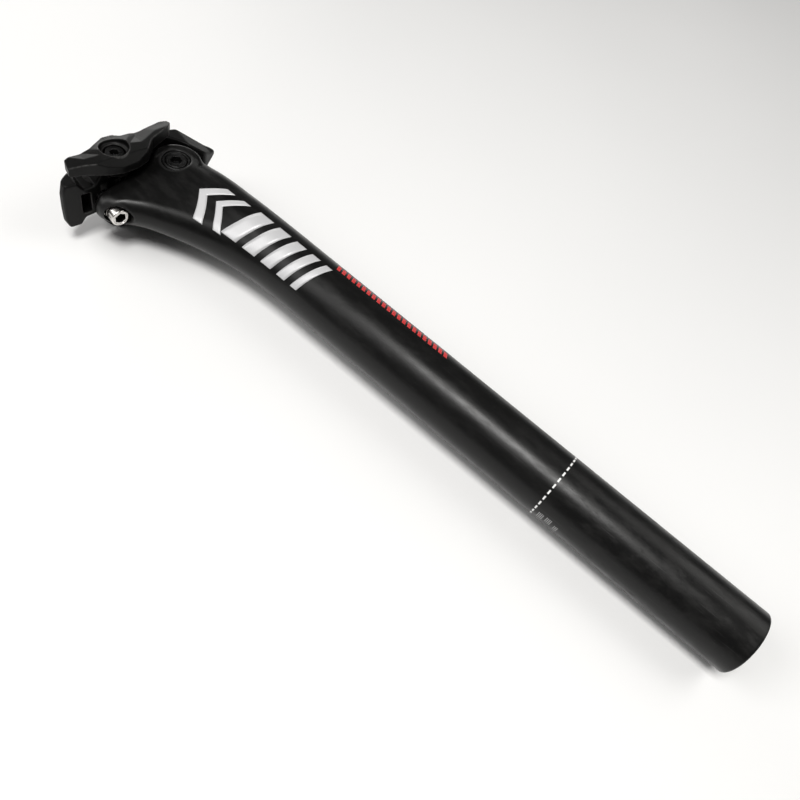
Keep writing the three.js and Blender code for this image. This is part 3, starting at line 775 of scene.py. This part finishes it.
# Screws, nuts and washers -----------------------------------------------------------------------------

def cross_screw(x, y, z, centre, radius, head, tip, socket, pitch):
    """A cap screw along z; head is (radius, low, high), socket the hexagon's corner radius."""
    a, b = x - centre[0], y - centre[1]
    distance, turn = np.hypot(a, b), np.arctan2(b, a)
    shank = meet(thread(distance, z, turn, pitch, 0.3) - radius, between(z, tip, head[1] + 1), 0.5)
    cap = meet(distance - head[0], between(z, head[1], head[2]), 0.55)
    screw = np.minimum(shank, cap)
    return less(screw, np.maximum(hexagon(a, b, socket), head[2] - 3.2 - z), 0.15)


def pivot_bolt_field(x, y, z):
    return cross_screw(x, y, z, PIVOT, M6_SHANK_RADIUS, PIVOT_HEAD, PIVOT_TIP, 2.9, M6_PITCH)


def clamp_bolt_field(x, y, z):
    return cross_screw(x, y, z, CLAMP_BOLT, M5_SHANK_RADIUS, CLAMP_HEAD, CLAMP_TIP, 2.3, M5_PITCH)


def tilt_bolt_field(x, y, z):
    a = x - TILT_X
    distance, turn = np.hypot(a, z), np.arctan2(a, z)
    head_top = TILT_SEAT_Y - 2 * GAP - DOME_TOP_DROP - DOME_HEIGHT
    ridges = thread(distance, y, turn, M5_PITCH, 0.32)
    shank = meet(ridges - TILT_SHANK_RADIUS, between(y, head_top - 1, TILT_SHANK_TOP), 0.5)
    cap = meet(distance - TILT_HEAD_RADIUS, between(y, head_top - TILT_HEAD_HEIGHT, head_top), 0.45)
    dish = np.maximum(distance - 3.3, y - (head_top - 4.85))
    screw = less(np.minimum(shank, cap), dish, 0.1)
    return less(screw, np.maximum(hexagon(a, z, 2.8), y - (head_top - 1.6)), 0.12)


def tilt_socket(x, y, z):
    """The inside of the tilt screw's socket, deeper in than its rim, which is given a black finish as painted
    shade.
    """
    return np.maximum(np.hypot(x - TILT_X, z) - 3.0, -18.0 - y)


def turned_piece(profile, centre=None):
    """A ring or washer from its profile of (radius, place along the axis).

    It turns about z through centre, or about y through the tilt bolt.
    """
    def field(x, y, z):
        if centre:
            return polygon(profile, np.hypot(x - centre[0], y - centre[1]), z)
        return polygon(profile, np.hypot(x - TILT_X, z), y)
    return field


def insert_profile(side):
    """The ring that lines an ear's recess, with its floor round the pivot screw; side is 1 or -1."""
    floor_and_wall = [(EAR_HOLE_RADIUS, INSERT_LOW), (INSERT_RADIUS, INSERT_LOW), (INSERT_RADIUS, 12.8),
                      (6.1, INSERT_HIGH), (5.6, INSERT_HIGH), (5.3, 12.6), (5.3, 9.1), (EAR_HOLE_RADIUS, 9.1)]
    return [(r, side * z) for r, z in floor_and_wall]


def clamp_washer_profile():
    low, high = CLAMP_WASHER_ENDS
    return [(CROSS_HOLE_RADIUS, low), (CLAMP_WASHER_RADIUS, low), (CLAMP_WASHER_RADIUS, high - 0.2),
            (CLAMP_WASHER_RADIUS - 0.2, high), (CROSS_HOLE_RADIUS, high)]


def nut_field(x, y, z):
    """The far end's round nut with two spanner holes."""
    a, b = x - PIVOT[0], y - PIVOT[1]
    distance = np.hypot(a, b)
    blank = meet(distance - PIVOT_NUT_RADIUS, between(z, *PIVOT_NUT_ENDS), 0.4)
    nut = less(blank, distance - 3.15, 0.2)
    return less(nut, np.maximum(np.hypot(np.abs(a) - 4.05, b) - 0.5, z + 11), 0.1)


def barrel_field(x, y, z):
    barrel = meet(rod(x, y, (TILT_X, TILT_NUT_Y), BARREL_RADIUS), np.abs(z) - BARREL_HALF_LENGTH, 0.6)
    slot = np.maximum(np.abs(y - TILT_NUT_Y) - 0.5, 6.1 - np.abs(z))
    barrel = less(barrel, slot, 0.1)
    turn = np.arctan2(x - TILT_X, z)
    bore = 2.8 - thread(0 * turn, y, turn, M5_PITCH, 0.25)
    return less(barrel, np.hypot(x - TILT_X, z) - bore - 0.25, 0.2)


def sleeve_nut_field(x, y, z):
    distance = rod(x, y, CLAMP_BOLT, 0)
    body = meet(distance - SLEEVE_NUT_RADIUS, between(z, *SLEEVE_NUT_ENDS), 0.4)
    return less(body, distance - 2.65, 0.2)


def around(centre, radius, low, high, step):
    """A grid round a body about z."""
    return grid((centre[0] - radius, centre[1] - radius, low), (centre[0] + radius, centre[1] + radius, high),
                step)


def around_tilt(radius, low, high, step):
    return grid((TILT_X - radius, low, -radius), (TILT_X + radius, high, radius), step)


# Putting it together ------------------------------------------------------------------------------------

def camera():
    """The camera's three axes and its place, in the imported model's frame."""
    made = bpy.data.cameras.new("camera")
    made.sensor_width = 36.0
    made.lens = 33.3
    made.clip_start = 0.01
    obj = bpy.data.objects.new("camera", made)
    right = Vector((-0.75360, -0.60986, 0.24527))
    up = Vector((0.63228, -0.57051, 0.52416))
    back = Vector((-0.17973, 0.55009, 0.81554))
    place = Matrix((right, up, back)).transposed().to_4x4()
    place.translation = (-0.06328, 0.18338, 0.29021)
    obj.matrix_world = place
    bpy.context.scene.collection.objects.link(obj)
    bpy.context.scene.camera = obj


def build_post(carbon):
    piece("post_shell", post_field, post_axes(), POST_PLACE, "post", ["post_body"], carbon, 1.2)
    silver_mark()
    red_hatch()
    insertion_ring()
    scale_blocks()


def build_clamp(blasted):
    piece("cradle_forging", cradle_field, grid((-31.9, -15.2, -18.4), (52.4, 14, 18.4), 0.36), CLAMP_PLACE,
          "cradle", ["cradle"], blasted)
    piece("near_jaw_plate", near_jaw_field, grid((-26.4, -9.2, 10.2), (30.6, 12.8, 22.7), 0.26), CLAMP_PLACE,
          "near_clamp", ["near_jaw"], blasted)
    piece("far_jaw_plate", far_jaw_field, grid((-10.4, -5.4, -22.7), (30.6, 12.8, -10.2), 0.28), CLAMP_PLACE,
          "far_clamp", ["far_jaw"], blasted)


def build_hardware(black, silver, alloy):
    def add(name, field, axes, body, cad_node, finish, painted_shade=None):
        piece(name, field, axes, CLAMP_PLACE, body, [cad_node], finish, 0.4, painted_shade)

    add("pivot_screw_detail", pivot_bolt_field,
        around(PIVOT, PIVOT_HEAD[0], PIVOT_TIP, PIVOT_HEAD[2], 0.16), "pivot_screw",
        "pivot_bolt", black)
    add("pivot_nut_detail", nut_field, around(PIVOT, PIVOT_NUT_RADIUS, *PIVOT_NUT_ENDS, 0.18), "post",
        "pivot_nut", black)
    add("near_insert_detail", turned_piece(insert_profile(1), PIVOT),
        around(PIVOT, INSERT_RADIUS, INSERT_LOW, INSERT_HIGH, 0.2), "post", "near_pivot_insert", alloy)
    add("far_insert_detail", turned_piece(insert_profile(-1), PIVOT),
        around(PIVOT, INSERT_RADIUS, -INSERT_HIGH, -INSERT_LOW, 0.2), "post", "far_pivot_insert", alloy)
    add("clamp_screw_detail", clamp_bolt_field,
        around(CLAMP_BOLT, CLAMP_HEAD[0], CLAMP_TIP, CLAMP_HEAD[2], 0.16), "clamp_screw",
        "clamp_bolt", black)
    add("clamp_washer_detail", turned_piece(clamp_washer_profile(), CLAMP_BOLT),
        around(CLAMP_BOLT, CLAMP_WASHER_RADIUS, *CLAMP_WASHER_ENDS, 0.16), "near_clamp", "clamp_washer",
        black)
    add("sleeve_nut_detail", sleeve_nut_field, around(CLAMP_BOLT, SLEEVE_NUT_RADIUS, *SLEEVE_NUT_ENDS, 0.2),
        "far_clamp", "clamp_sleeve_nut", black)
    # the socket's inside is painted black as painted shade
    add("tilt_screw_detail", tilt_bolt_field, around_tilt(TILT_HEAD_RADIUS, -18.8, TILT_SHANK_TOP, 0.15),
        "tilt_screw", "tilt_bolt", silver, (tilt_socket, black))
    top = TILT_SEAT_Y - GAP
    seat = [(3.4, top), (3.4, top - 0.7), (TILT_SEAT_RADIUS - 0.2, top - SEAT_HEIGHT),
            (TILT_SEAT_RADIUS, top - SEAT_HEIGHT), (TILT_SEAT_RADIUS, top)]
    add("tilt_seat_detail", turned_piece(seat), around_tilt(TILT_SEAT_RADIUS, top - SEAT_HEIGHT, top, 0.15),
        "post", "tilt_seat_washer", silver)
    top -= DOME_TOP_DROP
    dome = [(2.8, top), (2.8, top - DOME_HEIGHT), (TILT_BALL_RADIUS, top - DOME_HEIGHT),
            (TILT_BALL_RADIUS, top - 1.15), (3.1, top)]
    add("tilt_dome_detail", turned_piece(dome), around_tilt(TILT_BALL_RADIUS, top - DOME_HEIGHT, top, 0.15),
        "tilt_swivel", "tilt_ball_washer", silver)
    low = (TILT_X - BARREL_RADIUS, TILT_NUT_Y - BARREL_RADIUS, -BARREL_HALF_LENGTH)
    high = (TILT_X + BARREL_RADIUS, TILT_NUT_Y + BARREL_RADIUS, BARREL_HALF_LENGTH)
    add("barrel_nut_detail", barrel_field, grid(low, high, 0.18), "tilt_nut", "tilt_barrel_nut", black)


def repaint(name, finish):
    """A new finish on a CAD node that is shown as it is."""
    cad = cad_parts[name]
    for slot in cad.material_slots:
        slot.material = finish


def floor():
    """A wide pale table, tilted to pass just under both the tube's lower end and the far jaw."""
    low_end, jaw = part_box("post_body"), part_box("far_jaw")
    tube_z = POST_PLACE.translation.z - TUBE_RADIUS * MM
    left, right = low_end[0][0], (jaw[0][0] + jaw[1][0]) / 2
    slope = (jaw[0][2] - tube_z) / (right - left)
    drop = 0.0003
    corners = [(x, y, tube_z - drop + slope * (x - left)) for x, y in ((-3, -3), (3, -3), (3, 3), (-3, 3))]
    mesh = bpy.data.meshes.new("table")
    mesh.from_pydata(corners, [], [(0, 1, 2, 3)])
    obj = bpy.data.objects.new("table", mesh)
    obj.data.materials.append(floor_finish())
    bpy.context.scene.collection.objects.link(obj)


def soft_light(name, place, target, size, power, colour):
    """A rectangular lamp at place, facing target; size in metres, power in watts."""
    data = bpy.data.lights.new(name, "AREA")
    data.shape = "RECTANGLE"
    data.size, data.size_y = size
    data.energy = power
    data.color = colour
    obj = bpy.data.objects.new(name, data)
    obj.location = place
    aim = Vector(target) - Vector(place)
    obj.rotation_euler = aim.to_track_quat("-Z", "Y").to_euler()
    bpy.context.scene.collection.objects.link(obj)


def lighting():
    world = bpy.data.worlds.new("room")
    world.use_nodes = True
    back = world.node_tree.nodes["Background"]
    back.inputs["Color"].default_value = (1.0, 0.995, 0.98, 1)
    back.inputs["Strength"].default_value = 0.06
    bpy.context.scene.world = world
    soft_light("overhead", (0.0, 0.33, 1.1), (0, 0, 0), (0.4, 0.35), 10.2, (1.0, 0.99, 0.97))
    soft_light("window", (0.9, 0.7, 0.9), (0, 0, 0), (0.9, 0.9), 8.6, (1.0, 0.99, 0.98))
    soft_light("far_wall", (-0.7, -0.8, 1.1), (0, 0, 0), (1.0, 0.8), 5.6, (1.0, 0.99, 0.96))
    soft_light("doorway", (1.7, -0.9, 0.4), (0.1, 0, 0), (1.1, 0.8), 7.0, (1.0, 0.99, 0.97))
    bpy.context.scene.view_settings.view_transform = "Standard"


camera()
build_post(carbon_finish())
build_clamp(blasted_finish())
BLACK = steel_finish("black_oxide_steel", 0.004, 0.008, 0.34, metallic=0.4)
SILVER = steel_finish("bright_plated_steel", 0.6, 0.78, 0.2, 0.05)
ALLOY = steel_finish("dark_turned_alloy", 0.007, 0.013, 0.36, metallic=0.4)
build_hardware(BLACK, SILVER, ALLOY)
repaint("pivot_sleeve", ALLOY)
for washer in ("near_thrust_washer", "far_thrust_washer"):
    repaint(washer, polymer_finish())
floor()
lighting()
